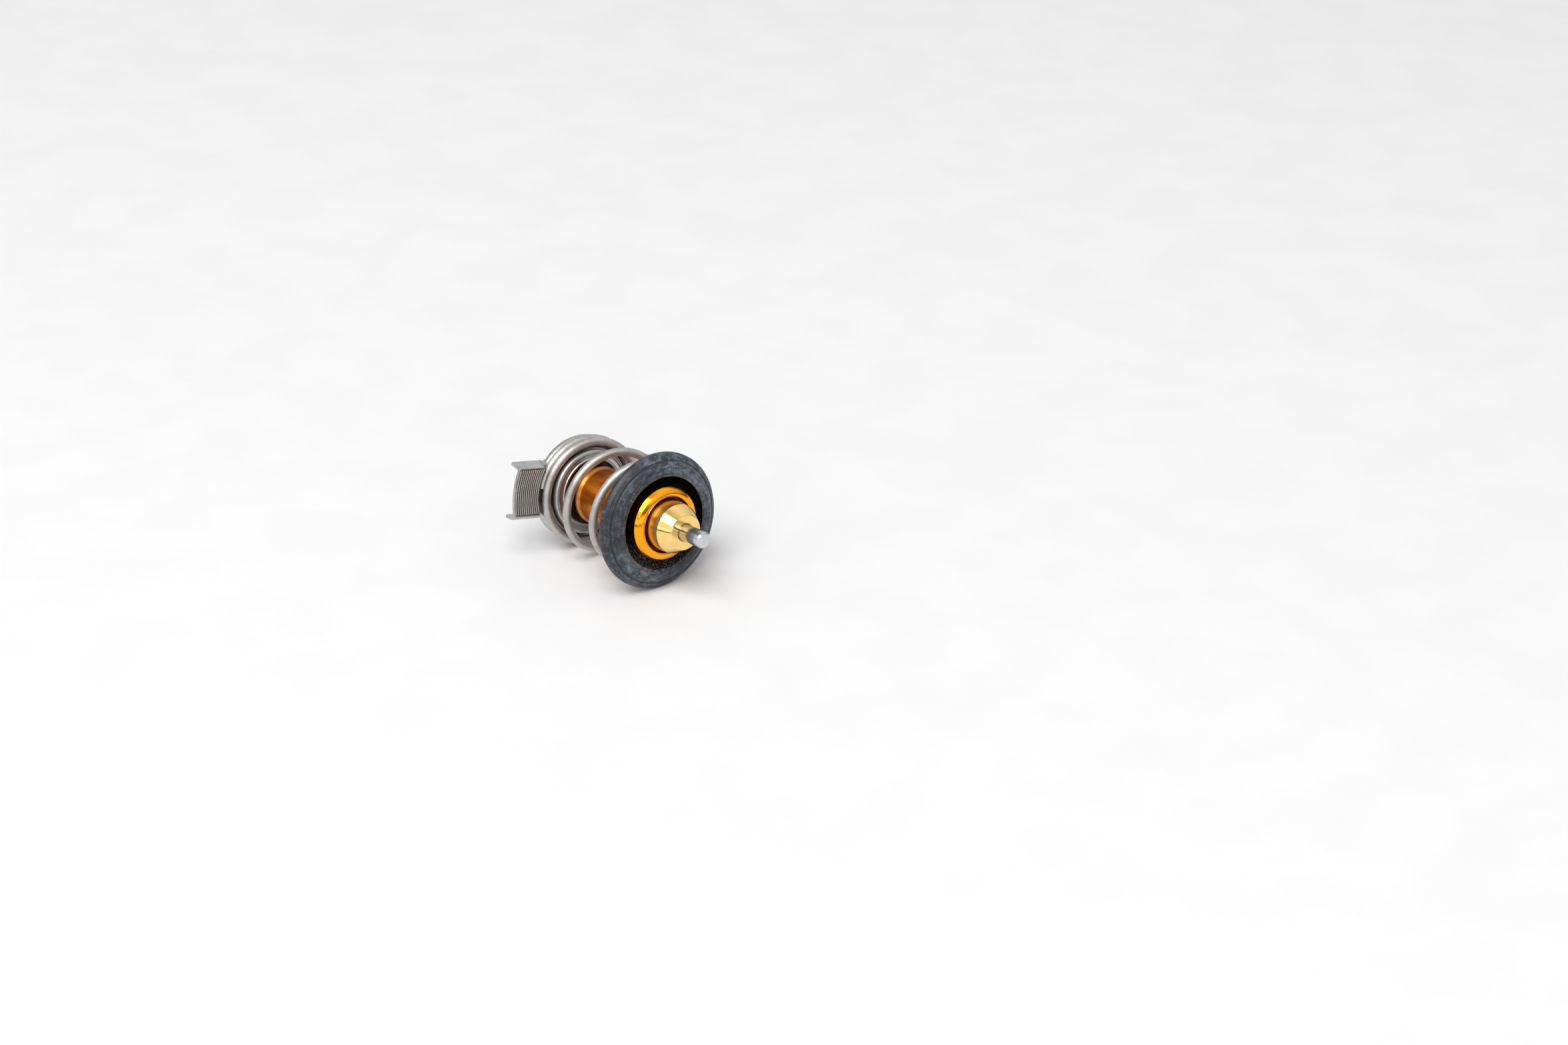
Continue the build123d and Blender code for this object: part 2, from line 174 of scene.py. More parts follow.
def makeTurnedLines():
    inputs = {"Height": (number, 0.0), "Radius": (number, 0.0), "Angle": (number, 0.0),
              "Lines": (number, 8.0), "Strength": (number, 0.2)}
    group, tree, given, out = startGroup("TurnedLines", inputs, {"Normal": arrow, "Mask": number})
    along = tree.math("ADD", given.outputs["Height"], given.outputs["Radius"])
    alongLines = tree.math("MULTIPLY", along, given.outputs["Lines"])
    drift = tree.math("MULTIPLY", given.outputs["Angle"], 0.35)
    vector = tree.add("ShaderNodeCombineXYZ", {"X": alongLines, "Y": drift})
    fine = tree.noise(vector.outputs[0], 1.0, 4.0, 0.65)
    bump = tree.add("ShaderNodeBump", {"Strength": given.outputs["Strength"], "Distance": 0.02 * millimetre,
                                       "Height": fine.outputs["Fac"]})
    tree.feed(out.inputs["Normal"], bump.outputs["Normal"])
    tree.feed(out.inputs["Mask"], fine.outputs["Fac"])
    return group


def makeHandling():
    inputs = {"Local": (arrow, (0, 0, 0)), "Smudge Scale": (number, 0.35), "Pit Scale": (number, 3.0),
              "Pit Depth": (number, 0.15)}
    outputs = {"Smudge": number, "Pits": number, "Scuffs": number, "Normal": arrow}
    group, tree, given, out = startGroup("Handling", inputs, outputs)
    local = given.outputs["Local"]
    smudge = tree.noise(local, given.outputs["Smudge Scale"], 4.0, 0.6, 0.4)
    pits = tree.add("ShaderNodeTexVoronoi", {"Vector": local, "Scale": given.outputs["Pit Scale"]})
    chosen = tree.noise(local, given.outputs["Pit Scale"], 2.0, 0.5)
    small = tree.span(pits.outputs["Distance"], 0.12, 0.2, 1.0, 0.0)
    some = tree.span(chosen.outputs["Fac"], 0.5, 0.62)
    pitMask = tree.math("MULTIPLY", small, some)
    long = tree.add("ShaderNodeMapping", {"Vector": local, "Scale": (0.7, 5.0, 1.2)})
    scratch = tree.noise(long.outputs[0], 1.6, 5.0, 0.7)
    scuffMask = tree.span(scratch.outputs["Fac"], 0.62, 0.72)
    bump = tree.add("ShaderNodeBump", {"Strength": given.outputs["Pit Depth"], "Distance": 0.05 * millimetre,
                                       "Height": pitMask}, invert=True)
    tree.feed(out.inputs["Smudge"], smudge.outputs["Fac"])
    tree.feed(out.inputs["Pits"], pitMask)
    tree.feed(out.inputs["Scuffs"], scuffMask)
    tree.feed(out.inputs["Normal"], bump.outputs["Normal"])
    return group


axisSpace = makeAxisSpace()
turnedLines = makeTurnedLines()
handling = makeHandling()


def startMaterial(name):
    material = bpy.data.materials.new(name)
    material.use_nodes = True
    tree = Tree(material.node_tree)
    shader = material.node_tree.nodes["Principled BSDF"]
    space = tree.add("ShaderNodeGroup", node_tree=axisSpace)
    marks = tree.add("ShaderNodeGroup", node_tree=handling)
    tree.feed(marks.inputs["Local"], space.outputs["Local"])
    return material, tree, shader, space.outputs, marks


def linesFor(tree, space, lines, strength):
    rings = tree.add("ShaderNodeGroup", node_tree=turnedLines)
    for label in ("Height", "Radius", "Angle"):
        tree.feed(rings.inputs[label], space[label])
    rings.inputs["Lines"].default_value = lines
    rings.inputs["Strength"].default_value = strength
    return rings


def metalMaterial(name, base, dark, roughness, lines=8.0, lineStrength=0.2, smudge=0.25, anisotropic=0.0):
    material, tree, shader, space, marks = startMaterial(name)
    rings = linesFor(tree, space, lines, lineStrength)
    tone = tree.math("MULTIPLY", tree.span(marks.outputs["Smudge"], 0.42, 0.68), smudge)
    tone = tree.math("ADD", tone, tree.math("MULTIPLY", marks.outputs["Pits"], 0.6))
    tree.feed(shader.inputs["Base Color"], tree.mix(tone, base, dark))
    rough = tree.span(rings.outputs["Mask"], 0.3, 0.7, roughness * 0.8, roughness * 1.25)
    rough = tree.math("ADD", rough, tree.math("MULTIPLY", marks.outputs["Scuffs"], 0.08))
    tree.feed(shader.inputs["Roughness"], rough)
    shader.inputs["Metallic"].default_value = 1.0
    if anisotropic:
        shader.inputs["Anisotropic"].default_value = anisotropic
        shader.inputs["Anisotropic Rotation"].default_value = 0.25
        place = tree.add("ShaderNodeTexCoord").outputs["Object"]
        around = tree.add("ShaderNodeVectorMath", {1: place}, operation="CROSS_PRODUCT")
        around.inputs[0].default_value = alongAxis
        tree.feed(shader.inputs["Tangent"], around.outputs[0])
    tree.feed(shader.inputs["Normal"], rings.outputs["Normal"])
    return material, tree, shader, space, marks


def tinted(tree, shader, mask, color):
    before = shader.inputs["Base Color"].links[0].from_socket
    tree.feed(shader.inputs["Base Color"], tree.mix(mask, before, color))


def roughened(tree, shader, mask, value):
    before = shader.inputs["Roughness"].links[0].from_socket
    tree.feed(shader.inputs["Roughness"], tree.mix(mask, before, (value, value, value)))


steelPin = metalMaterial("steelPin", (0.62, 0.63, 0.66), (0.34, 0.33, 0.34), 0.17, 6.0, 0.1, 0.3, 0.4)[0]
turnedBrass, tree, shader, space, marks = metalMaterial(
    "turnedBrass", (1.0, 0.7, 0.26), (0.72, 0.42, 0.1), 0.15, 9.0, 0.2, 0.25, 0.6)
barrel = tree.span(space["Height"], 6.3, 5.9)
# Painted reflection: the barrel is tinted orange as if it mirrors the copper cup beside it
tinted(tree, shader, tree.math("MULTIPLY", barrel, 0.4), (0.95, 0.55, 0.12))
roughened(tree, shader, barrel, 0.25)
# Painted shade: dark brown on the guide below 2.95 mm, in the gap under the cup's lip
tinted(tree, shader, tree.span(space["Height"], 2.95, 2.7), (0.07, 0.02, 0.006))
drawnCopper, tree, shader, space, marks = metalMaterial(
    "drawnCopper", (1.0, 0.38, 0.04), (0.5, 0.15, 0.02), 0.17, 5.0, 0.12, 0.5, 0.2)
tinted(tree, shader, tree.span(space["Height"], 0.5, 1.5), (1.0, 0.4, 0.02))
# Painted shade: dark brown inside 5.78 mm radius, on the lip's inner wall in the gap and on the body under the
# head
tinted(tree, shader, tree.span(space["Radius"], 5.85, 5.78), (0.16, 0.05, 0.01))
below = tree.span(space["Height"], -1.2, -1.6)
tinted(tree, shader, tree.math("MULTIPLY", below, tree.span(marks.outputs["Smudge"], 0.35, 0.6, 1.0, 0.55)),
       (0.9, 0.25, 0.015))
roughened(tree, shader, below, 0.3)
# Painted reflection: dark streaks along the copper body, standing in for lengthwise reflections on the cylinder
reflectionStreakPlace = tree.add("ShaderNodeCombineXYZ", {"X": tree.math("MULTIPLY", space["Angle"], 3.0),
                                                 "Y": tree.math("MULTIPLY", space["Height"], 0.05)})
darkReflectionStreaks = tree.noise(reflectionStreakPlace.outputs[0], 1.0, 5.0, 0.6)
tinted(tree, shader, tree.math("MULTIPLY", below, tree.span(darkReflectionStreaks.outputs["Fac"], 0.44, 0.66, 0.0, 0.55)),
       (0.25, 0.07, 0.01))
tinted(tree, shader, tree.span(space["Height"], -18.6, -18.9, 0.0, 0.75), (0.4, 0.22, 0.1))
springSteel = metalMaterial("springSteel", (0.55, 0.53, 0.51), (0.3, 0.27, 0.24), 0.5, 2.0, 0.05, 0.5)[0]
pressedSteel = metalMaterial("pressedSteel", (0.55, 0.55, 0.54), (0.32, 0.3, 0.28), 0.34, 3.0, 0.08, 0.5)[0]
webSteel, tree, shader, space, marks = metalMaterial(
    "webSteel", (0.55, 0.55, 0.54), (0.32, 0.3, 0.28), 0.34, 3.0, 0.08, 0.5)
# Painted shade: the ribbed face of the arms darkened, as the shade between the ribs
ribbed = tree.math("MULTIPLY", tree.span(space["Radius"], 11.8, 11.9),
                   tree.span(space["Radius"], 17.5, 17.6, 1.0, 0.0))
onFace = tree.span(space["Height"], -24.12, -24.03)
tinted(tree, shader, tree.math("MULTIPLY", ribbed, onFace), (0.22, 0.2, 0.19))
# Painted shade: the collar's side wall darkened where it faces the spring's dark inner turns, standing in for
# their shade and reflection
collarWallShade = tree.math("MULTIPLY", tree.span(space["Radius"], 9.9, 9.7), tree.span(space["Height"], -22.4, -22.9))
tinted(tree, shader, tree.math("MULTIPLY", collarWallShade, 0.88), (0.1, 0.07, 0.055))
# Near-black finish for the keeper washer, which also serves as painted shade for the dark gap seen through the
# frame's hole
blackSteelAndShade = metalMaterial("blackSteelAndShade", (0.05, 0.045, 0.04), (0.02, 0.018, 0.015), 0.4)[0]


def rubberMaterial():
    material, tree, shader, space, marks = startMaterial("bloomedRubber")
    cloud = tree.noise(space["Local"], 0.42, 9.0, 0.72, 0.5)
    streaks = tree.add("ShaderNodeCombineXYZ", {"X": tree.math("MULTIPLY", space["Radius"], 1.4),
                                                "Y": tree.math("MULTIPLY", space["Angle"], 5.0)})
    brushed = tree.noise(streaks.outputs[0], 1.3, 5.0, 0.66)
    bloomAndPaintedLight = tree.math("ADD", tree.math("MULTIPLY", cloud.outputs["Fac"], 0.55),
                      tree.math("MULTIPLY", brushed.outputs["Fac"], 0.45))
    # Painted light: the rubber's tone is raised towards one side and lowered round the other, as light falls on
    # the face; it adds to the bloom
    litSide = tree.math("ADD", space["Angle"], radians(118))
    twice = tree.math("MULTIPLY", tree.math("COSINE", tree.math("MULTIPLY", litSide, 2.0)), 0.65)
    once = tree.math("MULTIPLY", tree.math("COSINE", litSide), 0.35)
    bloomAndPaintedLight = tree.math("ADD", bloomAndPaintedLight, tree.span(tree.math("ADD", twice, once), -0.7, 1.0, -0.035, 0.06))
    bloomAndPaintedLightTone = tree.ramp(bloomAndPaintedLight, [(0.4, (0.008, 0.01, 0.013)), (0.5, (0.028, 0.034, 0.045)),
                                  (0.62, (0.14, 0.165, 0.2))])
    # Painted shade along the groove at 12.6 mm; the face also darkens towards the outer rim
    grooveShade = tree.span(tree.math("ABSOLUTE", tree.math("SUBTRACT", space["Radius"], 12.6)), 0.05, 0.3, 0.75, 0.0)
    edged = tree.span(space["Radius"], 13.0, 13.9, 0.0, 0.35)
    dark = tree.math("MAXIMUM", grooveShade, edged)
    tree.feed(shader.inputs["Base Color"], tree.mix(dark, bloomAndPaintedLightTone, (0.008, 0.009, 0.012)))
    dust = tree.noise(space["Local"], 2.6, 2.0, 0.7)
    tinted(tree, shader, tree.span(dust.outputs["Fac"], 0.66, 0.72, 0.0, 0.5), (0.3, 0.32, 0.36))
    tree.feed(shader.inputs["Roughness"], tree.span(bloomAndPaintedLight, 0.38, 0.62, 0.4, 0.6))
    grain = tree.noise(space["Local"], 3.2, 3.0, 0.65)
    bump = tree.add("ShaderNodeBump", {"Strength": 0.25, "Distance": 0.12 * millimetre,
                                       "Height": grain.outputs["Fac"]})
    tree.feed(shader.inputs["Normal"], bump.outputs["Normal"])
    return material


def channelMaterial():
    material, tree, shader, space, marks = startMaterial("channelRubber")
    sparkle = tree.noise(space["Local"], 5.0, 2.0, 0.6)
    glint = tree.math("MULTIPLY", tree.span(sparkle.outputs["Fac"], 0.55, 0.6),
                      tree.span(tree.math("SINE", space["Angle"]), 0.3, 0.9))
    tree.feed(shader.inputs["Base Color"], tree.mix(glint, (0.001, 0.001, 0.001), (0.2, 0.18, 0.19)))
    grain = tree.noise(space["Local"], 3.2, 3.0, 0.65)
    bump = tree.add("ShaderNodeBump", {"Strength": 1.0, "Distance": 0.12 * millimetre,
                                       "Height": grain.outputs["Fac"]})
    tree.feed(shader.inputs["Normal"], bump.outputs["Normal"])
    shader.inputs["Roughness"].default_value = 0.3
    shader.inputs["Specular IOR Level"].default_value = 0.05
    return material


bloomedRubber = rubberMaterial()
channelRubber = channelMaterial()


def plainMaterial(name, base, other, roughness):
    material, tree, shader, space, marks = startMaterial(name)
    tree.feed(shader.inputs["Base Color"], tree.mix(marks.outputs["Smudge"], base, other))
    tree.feed(shader.inputs["Normal"], marks.outputs["Normal"])
    shader.inputs["Roughness"].default_value = roughness
    return material


waxTone = plainMaterial("waxTone", (0.7, 0.52, 0.3), (0.55, 0.38, 0.2), 0.6)
bootRubber = plainMaterial("bootRubber", (0.03, 0.03, 0.03), (0.05, 0.05, 0.05), 0.6)
sealPlastic = plainMaterial("sealPlastic", (0.8, 0.78, 0.72), (0.7, 0.68, 0.6), 0.5)
print("stage: materials")


# Turned pieces


def rounded(corners, steps=6):
    line = []
    count = len(corners)
    for i, (r, h, fillet) in enumerate(corners):
        here = Vector((r, h))
        if fillet <= 0 or i in (0, count - 1):
            line.append(here)
            continue
        before = Vector(corners[i - 1][:2]) - here
        after = Vector(corners[i + 1][:2]) - here
        half = before.angle(after) / 2
        reach = min(fillet / tan(half), before.length * 0.49, after.length * 0.49)
        first = here + before.normalized() * reach
        last = here + after.normalized() * reach
        for step in range(steps + 1):
            t = step / steps
            line.append(first * (1 - t) ** 2 + here * (2 * t * (1 - t)) + last * t ** 2)
    return line


def turned(name, corners, material, segments=160):
    line = rounded(corners + [corners[0]])[:-1]
    vertices = []
    for step in range(segments):
        angle = 2 * pi * step / segments
        vertices += [(p.x * cos(angle), p.x * sin(angle), p.y) for p in line]
    faces = []
    rows = len(line)
    for step in range(segments):
        here = step * rows
        there = (step + 1) % segments * rows
        for i in range(rows):
            j = (i + 1) % rows
            if line[i].x < 1e-6 and line[j].x < 1e-6:
                continue
            faces.append((here + i, here + j, there + j, there + i))
    mesh = bpy.data.meshes.new(name)
    mesh.from_pydata(vertices, [], faces)
    mesh.validate()
    mesh.transform(layDown)
    source = addObject(name + "Source", mesh, material)
    weld = source.modifiers.new("weld", "WELD")
    weld.merge_threshold = 1e-7
    piece = baked(source, name, material)
    smooth(piece.data)
    return piece


pinSize = {"radius": 1.7, "tip": 15.1, "round": 0.4, "taper": -8.5, "end": -13.5, "endRadius": 0.9}
pinShaft = turned("pinShaft", [
    (0, pinSize["tip"], 0),
    (pinSize["radius"] - 0.33, pinSize["tip"], 0.06),
    (pinSize["radius"] - 0.03, pinSize["tip"] - 0.42, 0.25),
    (pinSize["radius"], pinSize["tip"] - 1.4, 0.4),
    (pinSize["radius"], pinSize["taper"], 0),
    (pinSize["endRadius"], pinSize["end"], 0),
    (0, pinSize["end"], 0),
], steelPin, 96)

guideSize = {"bore": 1.73, "bottom": 1.23, "flange": 6.93, "flangeTop": 2.68, "barrel": 5.3,
             "shoulder": 6.25, "shoulderRadius": 5.03, "face": 9.05, "faceRadius": 3.6}
guideBody = turned("guideBody", [
    (guideSize["bore"], guideSize["bottom"], 0),
    (guideSize["flange"], guideSize["bottom"], 0),
    (guideSize["flange"], guideSize["flangeTop"], 0),
    (guideSize["barrel"], guideSize["flangeTop"], 0.1),
    (guideSize["shoulderRadius"], guideSize["shoulder"], 0.12),
    (guideSize["faceRadius"] + 0.05, guideSize["face"] - 0.1, 0.05),
    (guideSize["faceRadius"] - 0.12, guideSize["face"], 0.05),
    (guideSize["bore"] + 0.22, guideSize["face"], 0.04),
    (guideSize["bore"], guideSize["face"] - 0.22, 0.04),
], turnedBrass)

cupSize = {"head": 7.75, "top": 3.45, "lip": 5.75, "headBottom": -0.95, "body": 5.65, "bead": 6.0,
           "beadHeight": -19.25, "end": -20.4, "tail": 3.0, "keeperBack": -23.75, "tailEnd": -24.35, "wall": 0.55}
capsuleCup = turned("capsuleCup", [
    (cupSize["head"], cupSize["headBottom"] + 0.8, 0.4),
    (cupSize["head"] - 0.8, cupSize["headBottom"], 0.3),
    (cupSize["body"], cupSize["headBottom"], 0.3),
    (cupSize["body"], cupSize["beadHeight"] + 0.8, 0.4),
    (cupSize["bead"], cupSize["beadHeight"] + 0.1, 0.2),
    (cupSize["bead"], cupSize["beadHeight"] - 0.3, 0.15),
    (cupSize["body"] - cupSize["wall"], cupSize["end"], 0.3),
    (cupSize["tail"], cupSize["end"], 0.2),
    (cupSize["tail"], cupSize["keeperBack"], 0),
    (cupSize["tail"] + 0.5, cupSize["keeperBack"], 0.15),
    (cupSize["tail"] - 0.1, cupSize["tailEnd"], 0.3),
    (0, cupSize["tailEnd"], 0),
    (0, cupSize["tailEnd"] + cupSize["wall"], 0),
    (1.9, cupSize["tailEnd"] + cupSize["wall"], 0),
    (1.9, cupSize["end"] + cupSize["wall"], 0),
    (5.1, cupSize["end"] + cupSize["wall"], 0),
    (cupSize["body"] - cupSize["wall"], -0.4, 0),
    (cupSize["head"] - 0.8, -0.4, 0),
    (cupSize["head"] - 0.8, 2.7, 0),
    (cupSize["lip"], 2.7, 0),
    (cupSize["lip"], cupSize["top"] + 0.1, 0.5),
    (cupSize["lip"] + 0.75, cupSize["top"] + 0.15, 0.7),
    (cupSize["head"] - 0.55, 3.1, 0.6),
    (cupSize["head"] - 0.08, 2.35, 0.5),
    (cupSize["head"], 1.5, 0.5),
], drawnCopper)

sealSize = {"rim": 14.0, "crown": 9.7, "crownHeight": 2.45, "groove": 12.7, "lip": 7.78, "channel": 9.6}
valveFace = turned("valveFace", [
    (sealSize["lip"], -0.97, 0),
    (sealSize["lip"], 1.1, 0),
    (sealSize["lip"] + 0.3, 1.1, 0.1),
    (8.4, 0.45, 0.4),
    (9.3, 1.5, 0.5),
    (9.62, 2.2, 0.4),
    (10.35, 2.4, 0.3),
    (10.62, 2.27, 0.15),
    (11.3, 2.25, 0.6),
    (12.3, 1.55, 0.35),
    (12.58, 1.22, 0.15),
    (12.8, 1.3, 0.15),
    (13.55, 0.75, 0.5),
    (14.0, 0.1, 0.4),
    (14.0, -0.6, 0.3),
    (13.4, -1.25, 0.3),
    (12.45, -1.28, 0.2),
    (12.45, -0.5, 0.1),
    (13.15, -0.5, 0),
    (13.15, -0.1, 0),
    (10.9, 1.4, 0),
    (10.1, 1.4, 0),
    (7.88, -0.97, 0),
], bloomedRubber, 200)
valveFace.data.materials.append(channelRubber)
for face in valveFace.data.polygons:
    if (face.center - alongAxis * face.center.dot(alongAxis)).length < sealSize["channel"] * millimetre:
        face.material_index = 1

plateSize = {"bore": 5.7, "hub": -0.97, "foot": 7.86, "top": 1.4, "thick": 0.8, "edge": 13.15}
valvePlate = turned("valvePlate", [
    (plateSize["bore"], plateSize["hub"], 0),
    (plateSize["foot"], plateSize["hub"], 0.2),
    (10.1, plateSize["top"], 0.2),
    (10.9, plateSize["top"], 0.2),
    (plateSize["edge"], -0.12, 0),
    (plateSize["edge"], -0.88, 0),
    (10.65, 0.62, 0.3),
    (10.42, 0.62, 0.2),
    (plateSize["foot"] + 0.32, -1.77, 0.5),
    (plateSize["bore"], -1.77, 0.1),
], pressedSteel)

keeperSize = {"bore": 3.02, "radius": 7.7, "front": -22.75, "back": -23.75}
keeperWasher = turned("keeperWasher", [
    (keeperSize["bore"], keeperSize["front"], 0),
    (keeperSize["radius"], keeperSize["front"], 0.15),
    (keeperSize["radius"], keeperSize["back"], 0.2),
    (keeperSize["bore"], keeperSize["back"], 0),
], blackSteelAndShade)
print("stage: turned pieces")


# Pressed frame

frameSize = {
    "sheet": 0.65, "seat": -25.73, "skirtEnd": -26.95, "armFace": -24.0, "disc": 10.8,
    "halfWidth": 5.6, "leadingHalfWidth": 5.4, "tip": 17.85, "corner": 1.5, "bend": 1.1, "leadingBend": 0.55,
    "discBend": 0.85, "flare": 0.53, "stepIn": 11.42, "stepOut": 11.85, "foot": 9.8,
    "tipColumns": 8, "sideColumns": 18, "cornerColumns": 8, "discColumns": 20,
}
collarLine = rounded([
    (6.67, -22.05, 0),
    (6.72, -21.85, 0.12),
    (7.1, -21.8, 0.15),
    (7.25, -22.0, 0.1),
    (7.95, -22.05, 0.15),
    (8.15, -21.84, 0.15),
    (8.75, -22.1, 0.4),
    (9.2, -23.1, 0.6),
    (9.45, -25.73, 0.45),
    (9.8, -25.73, 0),
], 4)


def webHeight(r):
    f = frameSize
    t = min(max((r - f["stepIn"]) / (f["stepOut"] - f["stepIn"]), 0), 1)
    return f["seat"] + (f["armFace"] - f["seat"]) * t * t * (3 - 2 * t)


def frameColumns(halfWidth, bend):
    f = frameSize
    inner = halfWidth - bend
    columns = []
    start = sqrt(f["tip"] ** 2 - inner ** 2)
    tipEnd = atan2(inner, start)
    for step in range(f["tipColumns"]):
        angle = tipEnd * step / f["tipColumns"]
        columns.append((Vector((f["tip"] * cos(angle), f["tip"] * sin(angle))), None, bend))
    side = halfWidth + f["corner"]
    centre = Vector((sqrt((f["disc"] + f["corner"]) ** 2 - side ** 2), side))
    for step in range(f["sideColumns"]):
        x = start + (centre.x - start) * step / f["sideColumns"]
        columns.append((Vector((x, inner)), Vector((0, 1)), bend))
    low = atan2(-centre.y, -centre.x)
    for step in range(f["cornerColumns"]):
        share = step / f["cornerColumns"]
        angle = -pi / 2 + (low + pi / 2) * share
        out = Vector((-cos(angle), -sin(angle)))
        here = bend + (f["discBend"] - bend) * share
        columns.append((centre - out * (f["corner"] + here), out, here))
    first = atan2(centre.y, centre.x)
    for step in range(f["discColumns"] + 1):
        angle = first + (pi / 2 - first) * step / f["discColumns"]
        out = Vector((cos(angle), sin(angle)))
        columns.append((out * (f["disc"] - f["discBend"]), out, f["discBend"]))
    return columns


def pressedFrame():
    f = frameSize
    trailing = frameColumns(f["halfWidth"], f["bend"])
    leading = frameColumns(f["leadingHalfWidth"], f["leadingBend"])
    armEnd = f["tipColumns"] + f["sideColumns"]
    around = []
    for turned, leads in ((1, False), (1, True), (-1, False), (-1, True)):
        part = []
        for i, (spot, way, bend) in enumerate(leading if leads else trailing):
            mirror = Vector((-turned, turned)) if leads else Vector((turned, turned))
            lean = 1.0 if i < armEnd else max(1 - (i - armEnd) / f["cornerColumns"], 0)
            part.append((spot * mirror, None if way is None else way * mirror, bend, f["flare"] * lean * leads))
        if leads:
            part.reverse()
        around.append(part)
    # Quarters follow each other round the axis: shared columns are dropped
    columns = []
    for part in around:
        for column in part:
            if columns and (columns[-1][0] - column[0]).length < 1e-4:
                continue
            columns.append(column)
    if (columns[0][0] - columns[-1][0]).length < 1e-4:
        columns.pop()
    webRows = [0.3, 0.6, 0.85, 1.0]
    stepRows = [0.12 * i for i in range(1, 9)]
    armRows = [i / 6 for i in range(1, 7)]
    vertices, grid = [], []
    for spot, way, bend, flare in columns:
        column = []
        reach = spot.length
        unit = spot.normalized()

        def put(x, y, z):
            vertices.append((x, y, z))
            column.append(len(vertices) - 1)

        for p in collarLine:
            put(unit.x * p.x, unit.y * p.x, p.y)
        full = max(reach, f["stepOut"] + 0.3)
        scale = (reach - f["foot"]) / (full - f["foot"])
        radii = [f["foot"] + (f["stepIn"] - f["foot"]) * t for t in webRows]
        radii += [f["stepIn"] + (f["stepOut"] - f["stepIn"]) * t / 0.96 for t in stepRows]
        radii += [f["stepOut"] + (full - f["stepOut"]) * t for t in armRows]
        for r in radii:
            r = f["foot"] + (r - f["foot"]) * scale
            put(unit.x * r, unit.y * r, webHeight(r))
        if way is not None:
            top = webHeight(reach)
            for step in range(1, 7):
                angle = pi / 2 * step / 6
                o = bend * sin(angle)
                put(spot.x + way.x * o, spot.y + way.y * o, top - bend * (1 - cos(angle)))
            low = top - bend
            for step in range(1, 7):
                t = step / 6
                o = bend + flare * (0.85 * t + 0.15 * t ** 6)
                put(spot.x + way.x * o, spot.y + way.y * o, low + (f["skirtEnd"] - low) * t)
        grid.append(column)
    faces = []
    total = len(grid)
    for i in range(total):
        here, there = grid[i], grid[(i + 1) % total]
        for j in range(min(len(here), len(there)) - 1):
            faces.append((here[j], there[j], there[j + 1], here[j + 1]))
    mesh = bpy.data.meshes.new("frameSheet")
    mesh.from_pydata(vertices, [], faces)
    mesh.validate()
    middle = mesh.polygons[len(collarLine) + 6]
    if middle.normal.z < 0:
        mesh.flip_normals()
    source = addObject("frameSheet", mesh, webSteel)
    thick = source.modifiers.new("thick", "SOLIDIFY")
    thick.thickness = f["sheet"]
    thick.offset = -1
    thick.use_even_offset = True
    edge = source.modifiers.new("edge", "BEVEL")
    edge.width = 0.09
    edge.segments = 2
    edge.limit_method = "ANGLE"
    edge.angle_limit = radians(50)
    piece = baked(source, "armedFrame", webSteel)
    smooth(piece.data)
    piece.data.transform(layDown)
    return piece


armedFrame = pressedFrame()
print("stage: frame", len(armedFrame.data.polygons))


# Pieces that follow a rule


class Rule(Tree):
    def __init__(self, name, inputs):
        group = bpy.data.node_groups.new(name, "GeometryNodeTree")
        group.interface.new_socket("Geometry", in_out="INPUT", socket_type="NodeSocketGeometry")
        self.given = {}
        for label, (kind, value) in inputs.items():
            socket = group.interface.new_socket(label, in_out="INPUT", socket_type=kind)
            if kind != "NodeSocketMaterial":
                socket.default_value = value
            self.given[label] = (socket.identifier, value)
        group.interface.new_socket("Geometry", in_out="OUTPUT", socket_type="NodeSocketGeometry")
        super().__init__(group)
        self.start = self.add("NodeGroupInput").outputs
        self.end = self.add("NodeGroupOutput")

    def finish(self, geometry):
        real = self.add("GeometryNodeRealizeInstances", {"Geometry": geometry})
        soft = self.add("GeometryNodeSetShadeSmooth", {"Geometry": real.outputs[0]})
        painted = self.add("GeometryNodeSetMaterial", {"Geometry": soft.outputs[0],
                                                       "Material": self.start["Material"]})
        self.feed(self.end.inputs[0], painted.outputs[0])

    def make(self, name, material):
        source = addObject(name + "Source", bpy.data.meshes.new(name + "Source"), material)
        modifier = source.modifiers.new("rule", "NODES")
        modifier.node_group = self.tree
        for identifier, value in self.given.values():
            modifier[identifier] = value
        piece = baked(source, name, material)
        piece.data.transform(layDown)
        return piece


springSize = {"radius": 10.53, "wire": 0.87, "rear": -24.81, "front": -0.69, "turns": 4.7, "closed": 1.0,
              "ramp": 0.45, "start": radians(-3.5)}
closedPitch = 2 * springSize["wire"]
openTurns = springSize["turns"] - 2 * springSize["closed"]
openRise = springSize["front"] - springSize["rear"] - 2 * springSize["closed"] * closedPitch
openPitch = (openRise - springSize["ramp"] * closedPitch) / (openTurns - springSize["ramp"])

